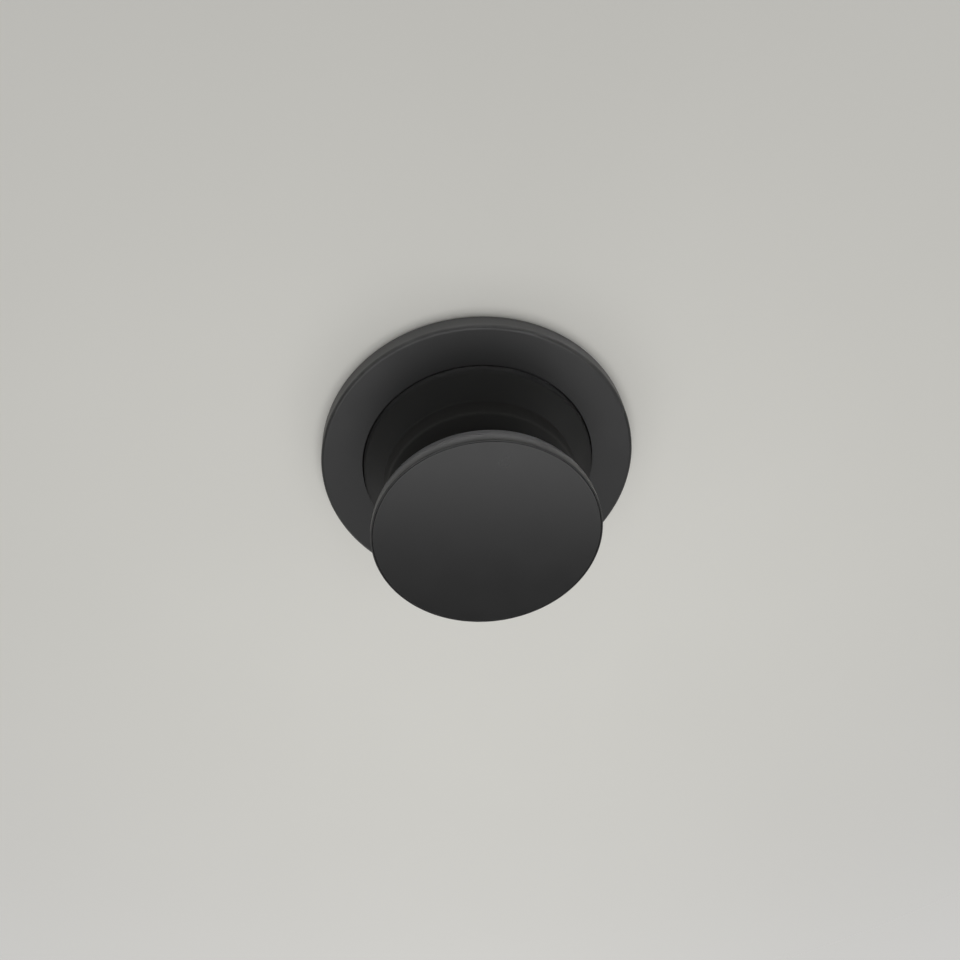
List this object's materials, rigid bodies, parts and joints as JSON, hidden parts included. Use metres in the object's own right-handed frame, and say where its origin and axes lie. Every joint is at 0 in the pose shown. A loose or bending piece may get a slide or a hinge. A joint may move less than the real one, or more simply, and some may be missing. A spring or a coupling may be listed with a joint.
{
  "type": "collapsible phone grip",
  "caption": "Round magnetic base with a folding bellows that carries a flat disc button, extended; fingers hold it between button and base, or it props a phone up.",
  "frame": {"origin": "centre of the rear pad's face, where the grip meets what it sticks to", "axes": "+Z along the grip's axis from the pad to the button; X and Y are equal, because the grip is round"},
  "size_m": [0.0564, 0.0564, 0.0245],
  "materials": {
    "housing_plastic": "fine matte moulded texture, black",
    "pad_rubber": "soft matte",
    "yoke_steel": "bright rolled sheet",
    "bellows_elastomer": "matte moulded elastomer, black",
    "button_plastic": "matte moulded, black",
    "inlay_plastic": "satin moulded, black",
    "plug_plastic": "as moulded, black",
    "magnet_nickel": "nickel plated"
  },
  "bodies": {
    "base": {"base_housing": "housing_plastic", "rear_cover": "housing_plastic", "grip_pad": "pad_rubber", "yoke_ring": "yoke_steel", "accordion": "bellows_elastomer", "magnet_01": "magnet_nickel", "magnet_02": "magnet_nickel", "magnet_03": "magnet_nickel", "magnet_04": "magnet_nickel", "magnet_05": "magnet_nickel", "magnet_06": "magnet_nickel", "magnet_07": "magnet_nickel", "magnet_08": "magnet_nickel", "magnet_09": "magnet_nickel", "magnet_10": "magnet_nickel", "magnet_11": "magnet_nickel", "magnet_12": "magnet_nickel", "magnet_13": "magnet_nickel", "magnet_14": "magnet_nickel", "magnet_15": "magnet_nickel", "magnet_16": "magnet_nickel", "magnet_17": "magnet_nickel", "magnet_18": "magnet_nickel"},
    "button": {"button_shell": "button_plastic", "button_inlay": "inlay_plastic", "button_plug": "plug_plastic"}
  },
  "joints": [
    {"name": "collapse", "type": "slide", "parent": "base", "child": "button", "axis": [0, 0, -1], "range_m": [0, 0.0144], "deforming": ["accordion"]}
  ]
}
